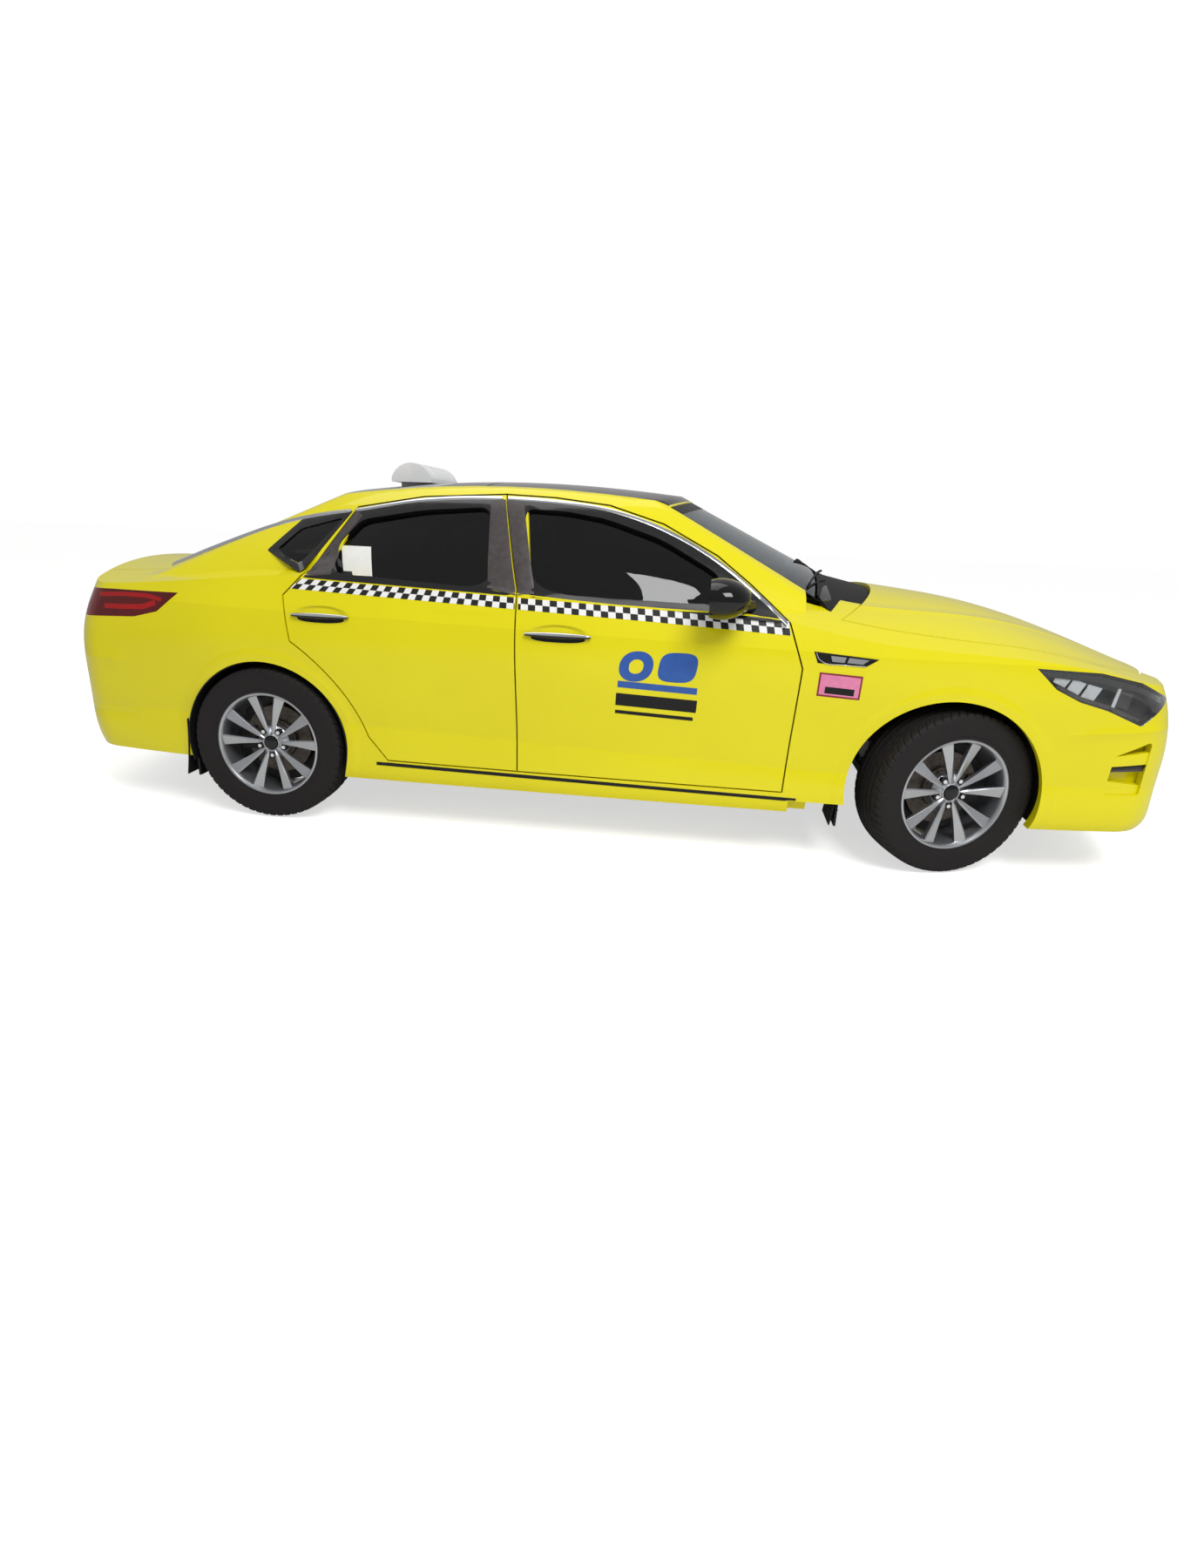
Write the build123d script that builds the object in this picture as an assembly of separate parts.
from build123d import *
from math import cos, pi, radians, sin
import os

os.makedirs("parts", exist_ok=True)

# Saloon car used as a taxi cab. Millimetres, +X to the front, +Y to the car's left, +Z up from the road.

# Overall sizes
LENGTH = 4855.0
WIDTH = 1860.0
HEIGHT = 1465.0
WHEELBASE = 2805.0
FRONT_OVERHANG = 965.0
TRACK = 1606.0
GROUND_CLEARANCE = 212.0

# Clearances and wall thicknesses
SHUT_GAP = 6.0
SEAT_GAP = 0.3
PANEL = 34.0
DOOR_SKIN = 11.0
FRAME_DEPTH = 44.0
DOOR_INNER_Y = 836.0
PILLAR_OUTER_Y = 825.0
CABIN_HALF = 772.0
PILLAR_STEP = 9.0
PILLAR_DEPTH = 96.0
ROOF_DEPTH = 46.0
GLASS = 5.0
GLASS_SET = 3.0
DOOR_GLASS_SET = 18.0
LAMP_DEPTH = 90.0
COWL_DEPTH = 46.0

# Wheels and tyres
TYRE_RADIUS = 334.0
TYRE_WIDTH = 215.0
TREAD_WIDTH = 172.0
BEAD_RADIUS = 218.0
RIM_FLANGE_RADIUS = 229.0
RIM_WIDTH = 196.0
BEAD_GAP = 8.4
TYRE_FLATS = 60
HUB_RADIUS = 74.0
TWIN_SPOKES = 5
LUG_CIRCLE = 57.0
SPINDLE_RADIUS = 25.0
LUG_HOLE_RADIUS = 9.0
DISC_RADIUS = 150.0
ARCH_RADIUS = 374.0
LINER_RADIUS = 394.0
REAR_ARCH_RADIUS = 362.0

# Steering: the front wheels stand turned to the left
STEER_REST = 17.0
KINGPIN_LEAN = 13.4
BALL_JOINT_Y = 745.0
BALL_JOINT_Z = 212.0
BALL_JOINT_RADIUS = 18.0
ARM_LENGTH = 120.0

HALF_L = LENGTH / 2
HALF_W = WIDTH / 2
FRONT_X = HALF_L - FRONT_OVERHANG
REAR_X = FRONT_X - WHEELBASE
WHEEL_Y = TRACK / 2
SIDES = (("right", -1), ("left", 1))

# Plan outlines of the lower body, one for each height. All but the first column are measured in
# from the overall size.
# height, nose, front corner back, front corner in, side in, tail, rear corner back, rear corner in
BODY_LEVELS = (
    (170, 48, 237, 150, 66, 72, 237, 150),
    (320, 3, 142, 122, 24, 12, 207, 112),
    (450, 0, 137, 122, 29, 0, 202, 105),
    (610, 8, 147, 118, 15, 4, 204, 98),
    (745, 30, 192, 118, 1, 15, 212, 98),
    (865, 100, 262, 128, 5, 58, 232, 118),
    (960, 200, 347, 150, 28, 98, 262, 148),
    (1060, 300, 427, 185, 58, 128, 292, 182),
    (1210, 450, 547, 240, 108, 178, 337, 235),
)
CORNER_RADIUS = 190.0
SIDE_BOW = 11.0

# Top of the lower body: bonnet, belt and boot. Station along the car, height on the centre line,
# height at the sides
DECK_HALF = 900.0
DECK_STATIONS = (
    (HALF_L + 20, 640, 590),
    (HALF_L - 140, 818, 755),
    (FRONT_X + 560, 916, 818),
    (FRONT_X + 110, 1032, 884),
    (FRONT_X - 300, 1080, 908),
    (FRONT_X - 660, 1128, 966),
    (FRONT_X - 1662, 1178, 1010),
    (REAR_X + 342, 1204, 1046),
    (REAR_X - 300, 1116, 1000),
    (REAR_X - 740, 1066, 950),
    (-HALF_L - 20, 985, 870),
)

# Plan outlines of the glasshouse: drop below the roof, side in, windscreen corner in, rear corner in
GLASSHOUSE_LEVELS = (
    (545, 26, 138, 168),
    (465, 48, 165, 192),
    (365, 96, 214, 238),
    (265, 151, 265, 288),
    (165, 214, 320, 340),
    (85, 275, 372, 385),
    (35, 341, 430, 440),
    (-15, 450, 530, 530),
)
SCREEN_BASE = (FRONT_X - 303, 1040.0)
SCREEN_SLOPE = 2.104
SCREEN_RADIUS = 1050.0
BACK_BASE = (REAR_X - 508, 1080.0)
BACK_SLOPE = 2.333
BACK_RADIUS = 2500.0
GLASSHOUSE_MID = -300.0
PILLAR_RADIUS = 80.0

# Roof skin: station, drop on the centre line, drop at the rails
ROOF_HALF = 600.0
ROOF_STATIONS = (
    (620, 105, 165),
    (200, 24, 74),
    (-300, 0, 44),
    (-850, 24, 68),
    (-1250, 72, 120),
    (-1650, 150, 205),
)


# Outline helpers
def patch(*points, r=0.0):
    face = make_face(Polyline(*points, close=True))
    return fillet(face.vertices(), r) if r else face


def across(face, near, far):
    """A side view (X, Z) carried from |y| = near to |y| = far on the car's right."""
    return extrude(Plane.XZ.offset(near) * face, far - near)


def upward(face, low, high):
    """A plan view (X, Y) carried from z = low to z = high."""
    return extrude(Plane.XY.offset(low) * face, high - low)


def block(x0, x1, y0, y1, z0, z1):
    return Pos((x0 + x1) / 2, (y0 + y1) / 2, (z0 + z1) / 2) * Box(x1 - x0, y1 - y0, z1 - z0)


def rod(start, end, radius):
    """A round bar between two points."""
    a, b = Vector(*start), Vector(*end)
    plane = Plane(origin=a, z_dir=(b - a))
    return extrude(plane * Circle(radius), (b - a).length)


def grown(face, amount):
    return offset(face, amount=amount, kind=Kind.INTERSECTION)


def on_side(shape, side):
    return shape if side < 0 else mirror(shape, Plane.XZ)


def both(shape):
    return shape + mirror(shape, Plane.XZ)


def wheel_drum(x, radius, near, far):
    return across(Pos(x, TYRE_RADIUS) * Circle(radius), near, far)


# Body surfaces, each as a closed solid that can be set in by a wall thickness
def lower_outline(level, d):
    z, nose, fx, fy, side, tail, rx, ry = level
    front, rear = HALF_L - fx - 0.7 * d, -HALF_L + rx + 0.7 * d
    wide_f, wide_r, wide = HALF_W - fy - d, HALF_W - ry - d, HALF_W - side - d
    nose_arc = ThreePointArc((front, -wide_f, z), (HALF_L - nose - d, 0, z), (front, wide_f, z))
    tail_arc = ThreePointArc((rear, wide_r, z), (-HALF_L + tail + d, 0, z), (rear, -wide_r, z))
    flank = ThreePointArc((FRONT_X, wide - SIDE_BOW, z), (0, wide, z), (REAR_X, wide - SIDE_BOW, z))
    taper_f = TangentArc((FRONT_X, wide - SIDE_BOW, z), (front, wide_f, z), tangent=-(flank % 0))
    taper_r = TangentArc((REAR_X, wide - SIDE_BOW, z), (rear, wide_r, z), tangent=flank % 1)
    left = (taper_f, flank, taper_r)
    face = make_face([nose_arc, *left, tail_arc, *(mirror(e, Plane.XZ) for e in left)])
    ends = (front, rear)
    corners = [v for v in face.vertices() if min(abs(v.X - e) for e in ends) < 1]
    return fillet(corners, CORNER_RADIUS - 0.3 * d)


def crowned(stations, half, d, floor):
    """Body under a surface of arches, one arch at each station along the car."""
    sections = []
    for x, centre, edge in stations:
        arch = ThreePointArc((x, -half, edge - d), (x, 0, centre - d), (x, half, edge - d))
        walls = Polyline((x, half, edge - d), (x, half, floor), (x, -half, floor), (x, -half, edge - d))
        sections.append(make_face([arch, *walls.edges()]))
    return loft(sections)


def lower_body(d=0.0):
    levels = [(GROUND_CLEARANCE - 120,) + BODY_LEVELS[0][1:]] if d else []
    shell = loft([lower_outline(v, d) for v in (*levels, *BODY_LEVELS)])
    over = 1.2
    stations = [(x * (over if abs(x) > HALF_L else 1.0), c, e) for x, c, e in DECK_STATIONS]
    wide = [(x, c, c - (c - e) * (HALF_W * over / DECK_HALF) ** 2) for x, c, e in stations]
    return shell & crowned(wide, HALF_W * over, d, -200.0)


def glasshouse(side=0.0, top=0.0, ends=None):
    ends = side if ends is None else ends
    faces = []
    for drop, inset, fy, ry in GLASSHOUSE_LEVELS:
        z = HEIGHT - drop
        screen = SCREEN_BASE[0] - (z - SCREEN_BASE[1]) * SCREEN_SLOPE - 2.4 * ends
        back = BACK_BASE[0] + (z - BACK_BASE[1]) * BACK_SLOPE + 2.6 * ends
        wide_f, wide_r, wide = HALF_W - fy - side, HALF_W - ry - side, HALF_W - inset - side
        fx, rx = screen - wide_f**2 / (2 * SCREEN_RADIUS), back + wide_r**2 / (2 * BACK_RADIUS)
        edges = (
            ThreePointArc((fx, -wide_f, z), (screen, 0, z), (fx, wide_f, z)),
            ThreePointArc((fx, wide_f, z), (GLASSHOUSE_MID, wide, z), (rx, wide_r, z)),
            ThreePointArc((rx, wide_r, z), (back, 0, z), (rx, -wide_r, z)),
            ThreePointArc((rx, -wide_r, z), (GLASSHOUSE_MID, -wide, z), (fx, -wide_f, z)),
        )
        face = make_face(edges)
        faces.append(fillet(face.vertices(), PILLAR_RADIUS - 0.4 * side))
    over = 1.6
    roof = [(x, HEIGHT - c, HEIGHT - c - (e - c) * over**2) for x, c, e in ROOF_STATIONS]
    roof = [(x * (1.6 if x in (roof[0][0], roof[-1][0]) else 1.0), c, e) for x, c, e in roof]
    return loft(faces) & crowned(roof, ROOF_HALF * over, top, 700.0)


# Side view outlines of the panels
B_LINE = ((-239, 300), (-253, 1022), (-350, 1396))
FRONT_DOOR = patch(
    (847, 296), (869, 800), (808, 966), (655, 1092), (519, 1192), (296, 1304), (73, 1368), (-150, 1390),
    B_LINE[2], B_LINE[1], B_LINE[0],
)
REAR_DOOR = make_face(
    [
        *Polyline(B_LINE[0], B_LINE[1], B_LINE[2], (-700, 1376), (-990, 1326), (-1127, 1078), (-1226, 972),
                  (-1195, 790)).edges(),
        ThreePointArc((-1195, 790), (-1012, 622), (-884, 400)),
        *Polyline((-884, 400), (-800, 304), B_LINE[0]).edges(),
    ]
)
FRONT_WINDOW = patch((-196, 1024), (-256, 1364), (-100, 1362), (70, 1340), (292, 1272), (520, 1150),
                     (572, 1004), r=14)
REAR_WINDOW = patch((-366, 1030), (-368, 1366), (-690, 1346), (-968, 1298), (-1062, 1064), r=14)
QUARTER_WINDOW = patch((-1180, 1086), (-1030, 1292), (-1236, 1238), (-1326, 1142), r=12)
BUMPER_F = patch(
    (1640, 100), (1673, 620), (1720, 690), (1880, 752), (2010, 715), (2150, 665), (2240, 744),
                 (2500, 744), (2500, 100),
)
HEADLAMP = patch((1716, 848), (1800, 773), (1898, 728), (2010, 698), (2150, 642), (2262, 742),
                 (2120, 806), (1960, 838))
BUMPER_R = patch((-1560, 100), (-1640, 566), (-1890, 849), (-1930, 845), (-2500, 812), (-2500, 100))
TAIL_LAMP = patch((-1700, 957), (-1800, 876), (-1915, 848), (-2500, 818), (-2500, 942), (-2040, 954))

# Plan view outlines of the panels. Each end is (x at the sides, x on the centre line, half width)
def arched(front, rear, *between, d=0.0):
    """A plan outline with curved ends, grown by d all round. Points between the ends run front to rear."""
    (fx, fm, fy), (rx, rm, ry) = front, rear
    flank = [(fx + d, fy + d), *((x, y + d) for x, y in between), (rx - d, ry + d)]
    lower = [(x, -y) for x, y in reversed(flank)]
    nose = ThreePointArc(lower[-1], (fm + d, 0), flank[0])
    tail = ThreePointArc(flank[-1], (rm - d, 0), lower[0]) if rm != rx else Line(flank[-1], lower[0])
    return make_face([nose, *Polyline(*flank).edges(), tail, *Polyline(*lower).edges()])


def bonnet_plan(d=0.0):
    return arched((2196, 2350, 640), (1018, 1228, 772), (1980, 770), (1500, 802), d=d)


def boot_plan(d=0.0):
    return arched((-1752, -1884, 606), (-2600, -2600, 566), (-2190, 566), d=d)


def windscreen_plan(d=0.0):
    return arched((938, 1150, 690), (312, 392, 556), d=d)


def backlight_plan(d=0.0):
    return arched((-1248, -1200, 536), (-1700, -1834, 600), d=d)


def roof_plan(d=0.0):
    return arched((312, 392, 556), (-1248, -1200, 536), d=d)


NODES = {}


def node(name, *shapes):
    """Registers one node. Solids of one node either touch and are fused, or stand apart."""
    solids = [s for shape in shapes for s in shape.solids()]
    NODES[name] = solids[0] if len(solids) == 1 else Compound(children=solids)


# Solid bodies that the panels are cut from
L0 = lower_body()
LP = lower_body(PANEL)
L_SKIN = lower_body(DOOR_SKIN)
G0 = glasshouse()
G_SKIN = glasshouse(DOOR_SKIN, DOOR_SKIN)
G_FRAME = glasshouse(FRAME_DEPTH, FRAME_DEPTH)
G_STEP = glasshouse(FRAME_DEPTH + PILLAR_STEP, FRAME_DEPTH)
G_CABIN = glasshouse(PILLAR_DEPTH, ROOF_DEPTH)
G_GLASS = glasshouse(GLASS_SET, GLASS_SET)
G_INNER_GLASS = glasshouse(GLASS_SET + GLASS, GLASS_SET + GLASS)
G_DOOR_GLASS = glasshouse(DOOR_GLASS_SET, DOOR_GLASS_SET) - glasshouse(DOOR_GLASS_SET + GLASS,
                                                            DOOR_GLASS_SET + GLASS)
L_SEAT = lower_body(PANEL + SEAT_GAP)
L_COWL = lower_body(COWL_DEPTH)
L_LAMP = lower_body(LAMP_DEPTH)
BODY_OUT = lower_body(-SEAT_GAP) + glasshouse(-SEAT_GAP, -SEAT_GAP)
BODY = L0 + G0
BODY_SKIN = L_SKIN + G_SKIN

BELT = 985.0
cabin_box = block(-1300, 1010, -CABIN_HALF, CABIN_HALF, 80, BELT)
boot_box = block(-2330, -1300, -CABIN_HALF, CABIN_HALF, 80, 1200)
step_box = block(-2500, 1200, -PILLAR_OUTER_Y, PILLAR_OUTER_Y, 100, BELT)
door_box = block(-2500, 1200, -DOOR_INNER_Y, DOOR_INNER_Y, 100, BELT)
cabin = G_CABIN + cabin_box + (boot_box & LP)
screens = upward(windscreen_plan(), 800, 1600) + upward(backlight_plan(), 900, 1600)
lid_hole = upward(boot_plan(SHUT_GAP), 770, 1600)
bonnet_hole = upward(bonnet_plan(SHUT_GAP), 500, 1600)
FAR = HALF_W + 60

# Body sides: sill, pillars, roof rail and rear quarter in one pressing
HINGE_PILLAR_X = 952.0
DOOR_LAP = 38.0
SILL_Z = GROUND_CLEARANCE
front_of_doors = across(patch((869 + SHUT_GAP, 80), (869 + SHUT_GAP, 1120), (3000, 1120), (3000, 80)),
                        400, FAR)
side_region = across(
    patch((HINGE_PILLAR_X, SILL_Z), (HINGE_PILLAR_X, 1200), (400, 1500), (-1400, 1500), (-2330, 1100),
          (-2330, SILL_Z)), 300, FAR)
strip_hole = upward(arched((-1690, -1830, 606 + SEAT_GAP), (-1752, -1884, 606 + SEAT_GAP)), 900, 1300)
side = (BODY & side_region) - cabin - screens - upward(roof_plan(), 1100, 1600) - lid_hole - strip_hole
side = side - across(BUMPER_R, 300, FAR) - across(TAIL_LAMP, 300, FAR)
side = side - wheel_drum(REAR_X, REAR_ARCH_RADIUS, 300, FAR)
side = side - (front_of_doors - L_SEAT)
for outline in (FRONT_DOOR, REAR_DOOR):
    side = side - (across(grown(outline, SHUT_GAP / 2), 300, FAR) - step_box - G_STEP)
    side = side - across(grown(outline, -DOOR_LAP), 300, FAR)
side = side - across(QUARTER_WINDOW, 300, FAR)
side = max(side.solids(), key=lambda s: s.volume)

# Door seals: ribs on the sill and the lock pillar that each door closes on. Outline, foremost point
# of its rib
for outline, foremost in ((FRONT_DOOR, 330), (REAR_DOOR, -640)):
    rib = across(grown(outline, 16 - DOOR_LAP) - grown(outline, 4 - DOOR_LAP), PILLAR_OUTER_Y - 2,
                 DOOR_INNER_Y - SEAT_GAP)
    side = side + (rib & block(-1400, foremost, -FAR, 0, 300, BELT - 25))
for name, sign in SIDES:
    node(f"body_side_{name}", on_side(side, sign))

# Doors
DOORS = (("front", FRONT_DOOR, FRONT_WINDOW), ("rear", REAR_DOOR, REAR_WINDOW))
for place, outline, window in DOORS:
    face = grown(outline, -SHUT_GAP / 2)
    skin = (across(face, 300, FAR) & BODY) - BODY_SKIN
    inner = ((across(grown(outline, -SHUT_GAP / 2 - 15), 300, FAR) & BODY) - door_box) - G_FRAME
    door = (skin + inner) - across(window, 300, FAR)
    door = max(door.solids(), key=lambda s: s.volume)
    pane_region = across(grown(window, -SEAT_GAP), 300, FAR)
    pane = max((pane_region & G_DOOR_GLASS).solids(), key=lambda s: s.volume)
    for name, sign in SIDES:
        node(f"{place}_door_{name}", on_side(door, sign))
        node(f"{place}_door_glass_{name}", on_side(pane, sign))

# Fixed glass
glass_shell = G_GLASS - G_INNER_GLASS
node("windscreen", max((glass_shell & upward(windscreen_plan(-SEAT_GAP), 900, 1600)).solids(),
                       key=lambda s: s.volume))
node("rear_window", max((glass_shell & upward(backlight_plan(-SEAT_GAP), 900, 1600)).solids(),
                        key=lambda s: s.volume))
quarter = glass_shell & across(grown(QUARTER_WINDOW, -SEAT_GAP), 300, FAR)
node("quarter_windows", both(max(quarter.solids(), key=lambda s: s.volume)))

# Roof: a pressed frame under two large dark panes
roof_block = (G0 & upward(roof_plan(-SEAT_GAP), 1100, 1600)) - G_CABIN
PANE_SPLIT = -460.0
pane_plan = roof_plan(-6)
panes = (roof_block & upward(pane_plan, 1100, 1600)) - G_INNER_GLASS
gap = block(PANE_SPLIT - 4, PANE_SPLIT + 4, -900, 900, 1100, 1600)
node("roof_glass", panes - gap)
hatch_front = patch((190, -430), (190, 430), (-400, 430), (-400, -430), r=60)
hatch_rear = patch((-520, -430), (-520, 430), (-1060, 430), (-1060, -430), r=60)
roof_frame = (roof_block - panes) - upward(hatch_front, 1100, 1600) - upward(hatch_rear, 1100, 1600)
node("roof_panel", roof_frame)

# Front wings, bumpers, lamps
shell = L0 - LP
bumper_f = across(BUMPER_F, 0, FAR)
headlamp_f = across(HEADLAMP, 430, FAR)
wing_region = across(patch((869 + SHUT_GAP, 262), (869 + SHUT_GAP, 1130), (2300, 1130), (2300, 262)),
                     560, FAR)
wing = (shell & wing_region) - bumper_f - across(HEADLAMP, 300, FAR) - bonnet_hole
wing = wing - wheel_drum(FRONT_X, ARCH_RADIUS, 300, FAR) - upward(windscreen_plan(), 800, 1600)
wing = max(wing.solids(), key=lambda s: s.volume)
node("front_wings", both(wing))

lamp = ((L0 & headlamp_f) - L_LAMP) - bonnet_hole
lamp = max(lamp.solids(), key=lambda s: s.volume)
node("headlamps", both(lamp))

front = shell & (bumper_f + mirror(bumper_f, Plane.XZ)) & block(1500, 2600, -FAR, FAR, SILL_Z - 2, 790)
front = front - both(wheel_drum(FRONT_X, ARCH_RADIUS, 300, FAR)) - both(across(HEADLAMP, 430,
                                                            FAR)) - bonnet_hole
grille_cut = extrude(Plane.YZ.offset(2000)
                     * patch((-640, 262), (640, 262), (570, 470), (-570, 470), r=28), 500)
slot_cut = extrude(Plane.YZ.offset(2000) * patch((-440, 612), (440, 612), (500, 668), (-500, 668), r=18), 500)
intake = across(patch((2070, 365), (2210, 365), (2215, 585), (2082, 520), r=12), 600, FAR)
front = front - grille_cut - slot_cut - both(intake)
front = max(front.solids(), key=lambda s: s.volume)
node("front_bumper", front)

GRILLE_BARS = 5
bars = []
for i in range(GRILLE_BARS):
    z = 262 + (470 - 262) * (i + 0.5) / GRILLE_BARS
    bars.append(block(2200, 2500, -660, 660, z - 5, z + 5))
posts = [block(2200, 2500, y - 6, y + 6, 255, 480) for y in (-420, -140, 140, 420)]
band = L_SKIN - LP
grille = band & grille_cut
mesh = sum(bars[1:] + posts, bars[0])
grille = grille & mesh
node("radiator_grille", grille)

rear_cut = across(BUMPER_R, 0, FAR)
rear = shell & (rear_cut + mirror(rear_cut, Plane.XZ)) & block(-2600, -1500, -FAR, FAR, SILL_Z + 40, 1000)
rear = rear - both(wheel_drum(REAR_X, REAR_ARCH_RADIUS, 300, FAR)) - lid_hole
rear = max(rear.solids(), key=lambda s: s.volume)
node("rear_bumper", rear)

tail = ((L0 & across(TAIL_LAMP, 566 + SHUT_GAP + 2, FAR)) - L_LAMP) - lid_hole
tail = max(tail.solids(), key=lambda s: s.volume)
node("tail_lamps", both(tail))

# Bonnet and boot lid
bonnet = shell & upward(bonnet_plan(), 600, 1600)
bonnet = max(bonnet.solids(), key=lambda s: s.volume)
node("bonnet", bonnet)
lid = shell & upward(boot_plan(), 776, 1600)
lid = max(lid.solids(), key=lambda s: s.volume)

# Lamps set through the lid, in line with the lamps of the quarters
LID_LAMP_Y, LID_LAMP_LOW, LID_LAMP_TOP = 180.0, 838.0, 936.0
node("lid_lamps", lid & both(block(-HALF_L - 50, -2150, -700, -LID_LAMP_Y, LID_LAMP_LOW, LID_LAMP_TOP)))
lamp_hole = both(block(-HALF_L - 50, -2150, -700, SEAT_GAP - LID_LAMP_Y, LID_LAMP_LOW - SEAT_GAP,
                       LID_LAMP_TOP + SEAT_GAP))
node("boot_lid", lid - lamp_hole)


# Black cowl below the windscreen, with two wiper arms lying on it
cowl_plan = arched((1008, 1220, 684), (954, 1150 + SEAT_GAP, 684))
cowl = (L_SEAT - L_COWL) & upward(cowl_plan, 700, 1200)
cowl = max(cowl.solids(), key=lambda s: s.volume)
node("cowl_panel", cowl)

# Rear shelf: the strip below the rear window, the shelf behind the seat and the bulkhead under it
strip_plan = arched((-1700 - SEAT_GAP, -1834 - SEAT_GAP, 606), (-1746, -1878, 606))
strip = shell & upward(strip_plan, 900, 1300)
shelf = block(-1745, -1310, -636, 636, 930, 944) - lid_hole
bulkhead = block(-1346, -1332, -636, 636, 476 + SEAT_GAP, 932)
gutter = (L_SEAT - L_COWL) & both(block(-2000, -1800, -626, -572, 850, 1300))
node("rear_shelf", strip, shelf + bulkhead, gutter)

# Underbody: floor, tunnel, toe board, firewall, boot floor, side members and strut towers in one pressing
SHEET = 12.0
FLOOR_Z = 250.0
FIREWALL_X = 968.0
floor_line = Polyline(
    (FIREWALL_X, 930), (FIREWALL_X, 470), (700, FLOOR_Z), (-760, FLOOR_Z), (-860, 350), (-1240, 380),
    (-1330, 470), (-1690, 470), (-1740, 420), (-2290, 420), (-2330, 560),
)
floor = extrude(Plane.XZ * trace(floor_line, SHEET), CABIN_HALF - SEAT_GAP, both=True)
wheel_room = both(across(patch((-965, 100), (-965, 720), (-1720, 720), (-1720, 100)), 640, FAR))
narrow = both(across(patch((-1640, 100), (-1640, 720), (-2500, 720), (-2500, 100)), 700, FAR))
floor = floor - wheel_room - narrow
tunnel_out = extrude(Plane.YZ.offset(-590)
                     * patch((-130, FLOOR_Z), (-95, 400), (95, 400), (130, FLOOR_Z)), 1330)
tunnel_in = extrude(Plane.YZ.offset(-590) * patch((-118, 100), (-84, 388), (84, 388), (118, 100)), 1400)
floor = (floor + tunnel_out) - tunnel_in
member = block(940, 2150, -520, -440, 440, 540) + block(700, 985, -520, -440, 262, 470)
inner_wing = across(patch((965, 530), (965, 850), (1560, 850), (2060, 770), (2060, 530)), 504, 512)
tower = Pos(FRONT_X, -596, 838) * Cylinder(88, 24)
tower = tower + block(FRONT_X - 95, FRONT_X + 95, -600, -506, 826, 850)
for end in (-95, 87):
    tower = tower + block(FRONT_X + end, FRONT_X + end + 8, -590, -506, 742, 840)
cross_front = block(2100, 2150, -519, 519, 440, 520)
bonnet_stop = block(2105, 2135, -420, -390, 519, 1100)
underbody = floor + both(member + inner_wing + tower + bonnet_stop) + cross_front
node("underbody", underbody & L_SEAT)

# Engine and gearbox as one plain block, and the radiator in front of it
engine = block(1270, 1760, -410, 330, 300, 800)
engine = chamfer(engine.edges().filter_by(Axis.Z), 40)
gearbox = block(1360, 1640, 329, 440 - SEAT_GAP, 250, 560)
engine_mount = block(1450, 1560, SEAT_GAP - 440, -409, 450, 530)
node("engine_block", engine + gearbox + engine_mount)
node("radiator", block(2150 + SEAT_GAP, 2190, -390, 390, 300, 660))


# Wheels. Local frame: axle along Y, outer face to -Y, centre at the origin
def revolved(*profile):
    return revolve(make_face(Polyline(*profile, close=True)), Axis.Y)


def tyre_solid():
    """A tyre as a ring of flats: bead, sidewall, shoulder and tread, carried round the axle."""
    half, tread, seat = TYRE_WIDTH / 2, TREAD_WIDTH / 2, RIM_WIDTH / 2 - BEAD_GAP
    bore = BEAD_RADIUS / cos(pi / TYRE_FLATS)
    wall = ((bore, seat), (BEAD_RADIUS + 16, seat), (TYRE_RADIUS - 62, half), (TYRE_RADIUS - 13, tread),
            (TYRE_RADIUS, tread - 24))
    ring = [*wall, *((r, -y) for r, y in reversed(wall))]
    turns = [2 * pi * i / TYRE_FLATS for i in range(TYRE_FLATS)]
    flats = []
    for (r0, y0), (r1, y1) in zip(ring, ring[1:] + ring[:1]):
        for a, b in zip(turns, turns[1:] + turns[:1]):
            corners = ((r0, y0, a), (r1, y1, a), (r1, y1, b), (r0, y0, b))
            flats.append(patch(*((r * cos(s), y, r * sin(s)) for r, y, s in corners)))
    return Solid(Shell(flats))


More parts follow.
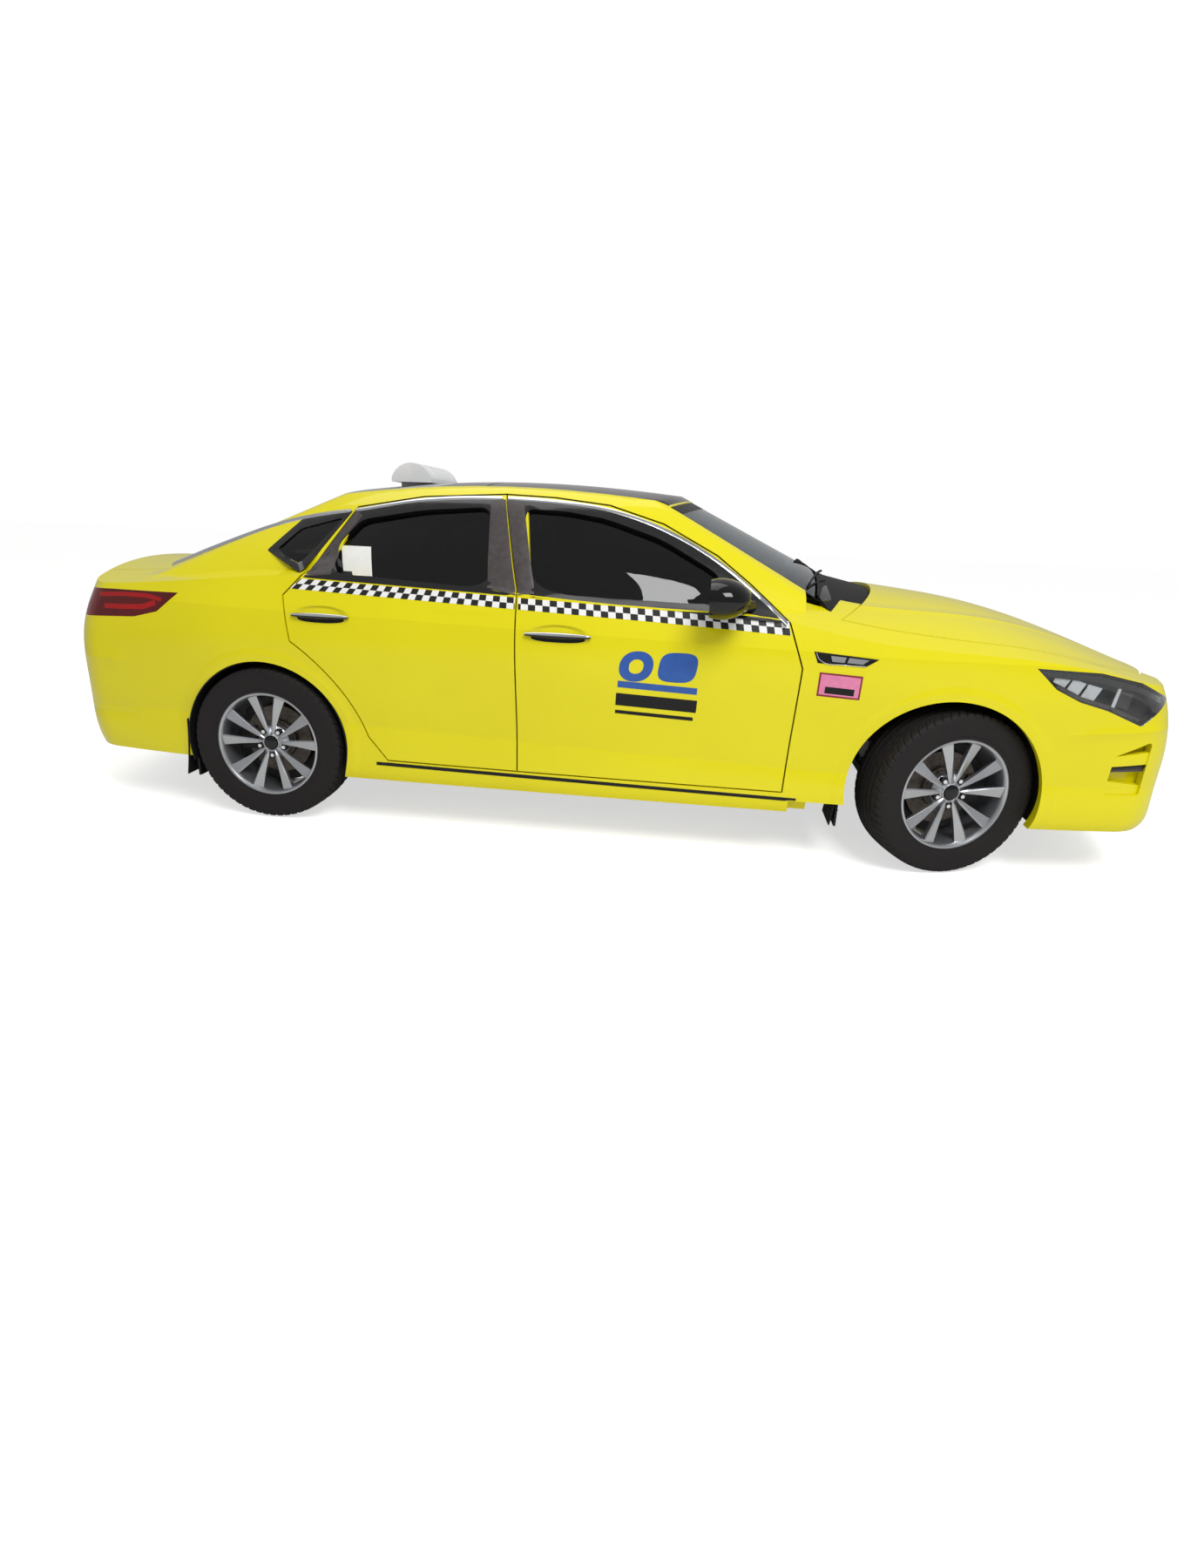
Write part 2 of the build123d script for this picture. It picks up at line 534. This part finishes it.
def rim_solid():
    out, seat, flange = RIM_WIDTH / 2, BEAD_RADIUS - SEAT_GAP, RIM_FLANGE_RADIUS
    barrel = revolved(
        (flange, -out), (flange, 6 - out), (seat, 8 - out), (seat, 32 - out), (seat - 18, 46 - out),
                      (seat - 20, 60),
        (seat, 70), (seat, out - 8), (flange, out - 6), (flange, out), (flange - 8, out),
                      (seat - 8, out - 12),
        (seat - 26, 54), (seat - 24, 46 - out), (seat - 10, 28 - out), (seat - 10, 2 - out),
                      (flange - 8, -out),
    )
    dish = revolved((0, -64), (70, -66), (seat - 6, -88), (seat - 6, -52), (70, -26), (0, -26))
    blade = patch((3, 52), (27, 48), (66, 206), (38, 216))
    blade = blade + mirror(blade, Plane.YZ)
    blades = extrude(Plane.XZ.offset(-10) * blade, 100)
    spokes = [Rot(0, i * 360 / TWIN_SPOKES, 0) * blades for i in range(TWIN_SPOKES)]
    face = sum(spokes[1:], spokes[0]) & dish
    hub = revolved((0, -66), (34, -66), (38, -60), (HUB_RADIUS, -56), (HUB_RADIUS, -24), (66, -20), (66, 12),
                   (DISC_RADIUS, 12), (DISC_RADIUS, 30), (58, 30), (58, -14), (0, -14))
    rim = barrel + face + hub
    for i in range(TWIN_SPOKES):
        angle = radians(90 + (i + 0.5) * 360 / TWIN_SPOKES)
        spot = Pos(LUG_CIRCLE * cos(angle), -54, LUG_CIRCLE * sin(angle)) * Rot(90, 0, 0)
        rim = rim - spot * Cylinder(LUG_HOLE_RADIUS, 40)
    return rim - Pos(0, -46, 0) * Rot(90, 0, 0) * Cylinder(SPINDLE_RADIUS + 0.8, 80,
                                                           align=(Align.CENTER, Align.CENTER, Align.MAX))


def spin_out(shape, sign):
    return shape if sign < 0 else mirror(shape, Plane.XZ)


TYRE, RIM = tyre_solid(), rim_solid()
LEAN = Vector(0, sin(radians(KINGPIN_LEAN)), cos(radians(KINGPIN_LEAN)))
KINGPIN = Vector(FRONT_X, -BALL_JOINT_Y, BALL_JOINT_Z)


def steered(shape, sign):
    """Turns a front corner piece about its kingpin to the stance of the photo."""
    base = Vector(KINGPIN.X, sign * BALL_JOINT_Y, KINGPIN.Z)
    return shape.rotate(Axis(base, Vector(0, -sign * LEAN.Y, LEAN.Z)), STEER_REST)


# Height that brings the turned front tyres back on the road
probe = steered(Pos(FRONT_X, -WHEEL_Y, TYRE_RADIUS) * TYRE, -1)
LIFT = -probe.bounding_box().min.Z
for name, sign in SIDES:
    for part, shape in (("tyre", TYRE), ("rim", RIM)):
        solid = spin_out(shape, sign)
        node(f"rear_{part}_{name}", Pos(REAR_X, sign * WHEEL_Y, TYRE_RADIUS) * solid)
        node(f"front_{part}_{name}", Pos(0, 0, LIFT)
             * steered(Pos(FRONT_X, sign * WHEEL_Y, TYRE_RADIUS) * solid, sign))

# Front knuckles: hub carrier with spindle, caliper, steering arm and the strut that turns with it
pin = Plane(origin=KINGPIN, x_dir=(1, 0, 0), z_dir=LEAN)
hub_centre = Pos(FRONT_X, -WHEEL_Y, TYRE_RADIUS)
spindle = hub_centre * Pos(0, -44, 0) * Rot(90, 0, 0) * Cylinder(SPINDLE_RADIUS, 98,
                                                            align=(Align.CENTER, Align.CENTER, Align.MAX))
carrier = hub_centre * Pos(0, 36, 0) * Rot(-90, 0, 0) * Cylinder(54, 52,
                                                            align=(Align.CENTER, Align.CENTER, Align.MIN))
lug = pin * Cylinder(BALL_JOINT_RADIUS, 22, align=(Align.CENTER, Align.CENTER, Align.MIN))
link = hub_centre * block(-24, 24, 42, 80, BALL_JOINT_Z + 8 - TYRE_RADIUS, 0)
caliper = hub_centre * (block(100, 172, -2, 50, -60, 60) - block(-200, 153, 8, 38, -90, 90))
caliper = caliper + hub_centre * block(30, 120, 40, 60, -24, 24)
STRUT_FOOT, STRUT_TOP = 220.0, 610.0
strut = pin * Pos(0, 0, STRUT_FOOT) * Cylinder(26, STRUT_TOP - STRUT_FOOT,
                                               align=(Align.CENTER, Align.CENTER, Align.MIN))
spring_seat = pin * Pos(0, 0, 510) * Cylinder(66, 8, align=(Align.CENTER, Align.CENTER, Align.MIN))
bracket = hub_centre * block(-20, 20, 70, 120, -10, 120)
ARM_EYE_Y, ARM_Z = 716.0, 250.0
arm = rod((FRONT_X, -720, 262), (FRONT_X - ARM_LENGTH, -ARM_EYE_Y, ARM_Z), 11)
arm_eye = Pos(FRONT_X - ARM_LENGTH, -ARM_EYE_Y, ARM_Z) * Cylinder(17, 18)
knuckle = carrier + spindle + lug + link + caliper + strut + spring_seat + bracket + arm + arm_eye
for name, sign in SIDES:
    node(f"knuckle_{name}", Pos(0, 0, LIFT) * steered(on_side(knuckle, sign), sign))

# Steering rack with the inner ends of its two tie rods
arm_swing = ARM_LENGTH * sin(radians(STEER_REST))
RACK_X, RACK_Z, RACK_END, TIE_ROD_END = FRONT_X - 150, 268.0, 330, 400
rack = rod((RACK_X, -arm_swing - RACK_END, RACK_Z), (RACK_X, -arm_swing + RACK_END, RACK_Z), 14)
rack = rack + rod((RACK_X, -arm_swing - TIE_ROD_END, RACK_Z), (RACK_X, -arm_swing + TIE_ROD_END, RACK_Z), 9)
node("steering_rack", rack)

# Front suspension: subframe, lower arms to the ball joints, top mounts over the struts
PIN_GAP = 0.8
mount_pin = Plane(origin=KINGPIN + Vector(0, 0, LIFT), x_dir=(1, 0, 0), z_dir=LEAN)
subframe = block(FRONT_X - 180, FRONT_X + 70, -360, 360, 196, 236)
rack_housing = both(block(RACK_X - 24, RACK_X + 24, -160, -120, 230, RACK_Z + 24))
subframe = subframe + rack_housing - rod((RACK_X, -400, RACK_Z), (RACK_X, 400, RACK_Z), 14 + PIN_GAP)
subframe = subframe - block(FRONT_X - 50, FRONT_X + 20, -200, 200, 180, 250)
post = block(FRONT_X + 20, FRONT_X + 60, -500, -450, 206, 440) + block(FRONT_X + 20, FRONT_X + 60, -500,
                                                            -340, 206, 236)
arm_plan = patch((FRONT_X - 100, -345), (FRONT_X + 60, -345), (FRONT_X + 26, -4 - BALL_JOINT_Y),
                 (FRONT_X - 26, -4 - BALL_JOINT_Y))
lower_arm = upward(arm_plan - Pos(FRONT_X - 12, -470) * Circle(34), 174, 198)
foot = mount_pin * Pos(0, 0, -20 - PIN_GAP) * Cylinder(BALL_JOINT_RADIUS, 20,
                                                       align=(Align.CENTER, Align.CENTER, Align.MIN))
mounts = block(FRONT_X - 100, FRONT_X + 60, -360, -320, 174, 200)
top_mount = mount_pin * Pos(0, 0, STRUT_TOP + PIN_GAP) * Cylinder(44, 60,
                                                            align=(Align.CENTER, Align.CENTER, Align.MIN))
top_mount = top_mount & block(1200, 1700, -800, -400, 700, 826 - SEAT_GAP)
node("front_suspension", subframe + both(post + lower_arm + foot + mounts), both(top_mount))

# Rear suspension: crossmember, arms, stub axles that carry the wheels, springs
rear_hub = Pos(REAR_X, -WHEEL_Y, TYRE_RADIUS)
stub = rear_hub * Pos(0, -44, 0) * Rot(90, 0, 0) * Cylinder(SPINDLE_RADIUS, 98,
                                                            align=(Align.CENTER, Align.CENTER, Align.MAX))
hub_body = rear_hub * Pos(0, 36, 0) * Rot(-90, 0, 0) * Cylinder(54, 60,
                                                            align=(Align.CENTER, Align.CENTER, Align.MIN))
upright = rear_hub * block(-34, 34, 60, 100, -120, 60)
rear_arm = block(REAR_X - 30, REAR_X + 30, -712, -300, 216, 240) + block(REAR_X - 110, REAR_X, -610,
                                                            -510, 216, 240)
trailing = block(REAR_X - 12, REAR_X + 480, -640, -628, 216, 270)
trailing = trailing + block(REAR_X - 12, REAR_X + 12, -712, -628, 216, 270)
trailing = trailing + block(REAR_X + 440, REAR_X + 480, -646, -616, 216, 344 - SEAT_GAP)
spring = Pos(REAR_X - 60, -560, 235) * Cylinder(56, 228.7, align=(Align.CENTER, Align.CENTER, Align.MIN))
cross = block(REAR_X - 80, REAR_X + 80, -420, 420, 237, 330)
rear_caliper = rear_hub * (block(-172, -100, -2, 50, -50, 50) - block(-153, 200, 8, 38, -90, 90))
rear_caliper = rear_caliper + rear_hub * block(-120, -30, 40, 62, -22, 22)
node("rear_suspension", both(stub + hub_body + upright + rear_arm + trailing + spring + rear_caliper) + cross)

# Exhaust under the floor with its silencers and hangers
pipe_z = 205.0
exhaust = rod((1240, 60, pipe_z), (-1560, 60, pipe_z), 27) + rod((-1560, 60, pipe_z),
                                                            (-1760, -420, pipe_z + 40), 27)
exhaust = exhaust + rod((-1760, -420, pipe_z + 40), (-2300, -420, 262), 27)
front_can = Pos(300, 60, pipe_z) * extrude(Plane.YZ * Ellipse(80, 34), 180, both=True)
rear_can = Pos(-1980, -420, 262) * extrude(Plane.YZ * Ellipse(120, 70), 210, both=True)
HANGERS = ((650, 60, 225, 388), (-400, 60, 225, 388), (-1500, 60, 225, 463.7), (-2100, -420, 320, 413.7))
hangers = [block(x - 6, x + 6, y - 6, y + 6, z, top) for x, y, z, top in HANGERS]
node("exhaust", sum(hangers, exhaust + front_can + rear_can))

# Arch liners and mud flaps
front_ring = wheel_drum(FRONT_X, LINER_RADIUS + 4, 520, 884) - wheel_drum(FRONT_X, LINER_RADIUS, 500, FAR)
front_liner = (front_ring & L_SEAT) & block(1000, 1858, -FAR, 0, 216, 820)
front_liner = front_liner - pin * Cylinder(82, 1600)
rear_ring = wheel_drum(REAR_X, REAR_ARCH_RADIUS - SEAT_GAP, 652, 900)
rear_ring = rear_ring - wheel_drum(REAR_X, REAR_ARCH_RADIUS - 4.5, 600, FAR)
rear_liner = rear_ring & block(-1720, -900, -FAR, 0, 240, 820)
flap_f = block(FRONT_X - 392, FRONT_X - 383, -868, -720, 158, 258)
flap_r = block(REAR_X - 356, REAR_X - 346, -868, -712, 160, 250)
node("arch_liners", both(front_liner + flap_f), both(rear_liner + flap_r))

# Cabin: dashboard with console and column, seats
DRIVER_Y = 370.0
COLUMN_TILT = 24.0
WHEEL_SPOT = Vector(402, DRIVER_Y, 905)
column_axis = Vector(-cos(radians(COLUMN_TILT)), 0, sin(radians(COLUMN_TILT)))
dash_line = patch((950, 896), (860, 938), (740, 985), (610, 945), (548, 880), (552, 770), (640, 660),
                  (950, 660))
dash = extrude(Plane.XZ * dash_line, CABIN_HALF - 8, both=True)
console = block(-100, 660, -105, 105, 400 + SEAT_GAP, 560) + block(560, 700, -105, 105, 540, 760)
column = rod(tuple(WHEEL_SPOT - column_axis * 240), tuple(WHEEL_SPOT - column_axis * (31 + SEAT_GAP)), 30)
binnacle = block(560, 700, DRIVER_Y - 190, DRIVER_Y + 190, 930, 1005)
node("dashboard", dash + console + column + binnacle)
wheel_plane = Plane(origin=WHEEL_SPOT, x_dir=(0, 1, 0), z_dir=column_axis)
steering_wheel = Torus(178, 14) + Pos(0, 0, -14) * Cylinder(62, 34)
for angle in (0, 180, 270):
    steering_wheel = steering_wheel + Rot(0, 0, angle) * Pos(115, 0, -8) * Box(130, 34, 14)
node("steering_wheel", wheel_plane * steering_wheel)


def seat(width, cushion, back, rest=None):
    """A padded seat: cushion and back as rounded side profiles, and a head restraint on two posts."""
    body = extrude(Plane.XZ * patch(*cushion, r=34), width / 2, both=True)
    body = body + extrude(Plane.XZ * patch(*back, r=34), width / 2 - 12, both=True)
    if rest:
        pad = extrude(Plane.XZ * patch(*rest, r=26), 130, both=True)
        stem = extrude(Plane.XZ * patch((-392, 1030), (-378, 1030), (-396, 1110), (-410, 1110)), 8, both=True)
        body = body + pad + Pos(0, 70, 0) * stem + Pos(0, -70, 0) * stem
    return body


front_seat = seat(
    510,
    ((-190, 380), (330, 400), (345, 500), (300, 525), (-190, 480)),
    ((-150, 400), (-270, 400), (-440, 1050), (-330, 1080), (-140, 560)),
    ((-350, 1100), (-445, 1090), (-475, 1245), (-400, 1262), (-352, 1210)),
)
base = block(-150, 280, -200, 200, FLOOR_Z + SHEET / 2, 392)
node("front_seats", *[Pos(0, sign * DRIVER_Y, 0) * (front_seat + base) for _, sign in SIDES])
rear_bench = seat(
    1260,
    ((-1180, 381.8), (-872, 357.5), (-600, 372), (-580, 500), (-640, 520), (-1100, 480)),
    ((-1060, 420), (-1200, 400), (-1296, 920), (-1280, 1000), (-1190, 1010), (-1060, 560)),
)
node("rear_seat", rear_bench)

# Taxi sign on the roof, across the car
SIGN_X, SIGN_LENGTH, SIGN_DEPTH, SIGN_RISE = -905.0, 420.0, 190.0, 84.0
roof_z = HEIGHT - 31
half = SIGN_DEPTH / 2
sign_face = make_face(
    [
        *Polyline((SIGN_X - half, roof_z + 30), (SIGN_X - half, roof_z + 12), (SIGN_X + half, roof_z + 12),
                  (SIGN_X + half, roof_z + 30)).edges(),
        ThreePointArc((SIGN_X + half, roof_z + 30), (SIGN_X, roof_z + 12 + SIGN_RISE),
                      (SIGN_X - half, roof_z + 30)),
    ]
)
lamp_box = extrude(Plane.XZ * sign_face, SIGN_LENGTH / 2, both=True)
pads = block(SIGN_X - 70, SIGN_X + 70, -150, -90, roof_z - 40, roof_z + 14) - BODY_OUT
node("taxi_sign", lamp_box + both(pads))

# Door handles on the door skins: place, middle, height, length
HANDLES = (("front", -77, 875, 262), ("rear", -1057, 899, 242))
for place, x, z, length in HANDLES:
    grip = extrude(Plane.XZ.offset(HALF_W + 20) * Pos(x, z) * SlotOverall(length, 25), 12)
    for end in (-1, 1):
        spot = x + end * (length / 2 - 24)
        grip = grip + extrude(Plane.XZ.offset(880) * Pos(spot, z) * SlotOverall(34, 20), HALF_W - 880 + 22)
    grip = grip - BODY_OUT
    grip = max(grip.solids(), key=lambda s: s.volume)
    for name, sign in SIDES:
        node(f"{place}_door_handle_{name}", on_side(grip, sign))

# Door mirrors: a rounded shell on a foot at the sail panel
MIRROR = (560.0, -1002.0, 1052.0)
mirror_rings = [
    Plane(origin=(MIRROR[0] + dx, MIRROR[1], MIRROR[2]), z_dir=(1, 0, 0), x_dir=(0, -1, 0)) * Ellipse(a, b)
    for dx, a, b in ((-62, 104, 68), (-10, 112, 74), (48, 92, 58), (84, 44, 28))
]
mirror_shell = loft(mirror_rings)
foot_face = Plane.XZ.offset(840) * patch((600, 1004), (684, 990), (676, 1036), (606, 1044), r=12)
mirror_foot = loft([foot_face, Plane.XZ.offset(930)
                    * patch((548, 1000), (622, 1000), (622, 1044), (548, 1044), r=12)])
mirror_body = mirror_shell + (mirror_foot - BODY_OUT)
mirror_body = max(mirror_body.solids(), key=lambda s: s.volume)
for name, sign in SIDES:
    node(f"door_mirror_{name}", on_side(mirror_body, sign))

# Fuel flap in the left rear quarter, over a closed recess
FLAP_X, FLAP_Z, FLAP_SIDE = -1560.0, 822.0, 150.0
flap_face = Pos(FLAP_X, FLAP_Z) * RectangleRounded(FLAP_SIDE, FLAP_SIDE, 30)
FLAP_INNER_Y, RECESS_Y = 892.0, 858.0
recess = across(grown(flap_face, SHUT_GAP / 2), RECESS_Y, FAR)
flap = across(grown(flap_face, -SHUT_GAP / 2), FLAP_INNER_Y, FAR) & L0
filler_cap = across(Pos(FLAP_X, FLAP_Z) * Circle(34), RECESS_Y - 2, FLAP_INNER_Y - SEAT_GAP)
node("fuel_flap", mirror(flap, Plane.XZ))
node("body_side_left", NODES["body_side_left"] - mirror(recess, Plane.XZ) + mirror(filler_cap, Plane.XZ))

for name, solid in NODES.items():
    export_step(solid, f"parts/{name}.step")
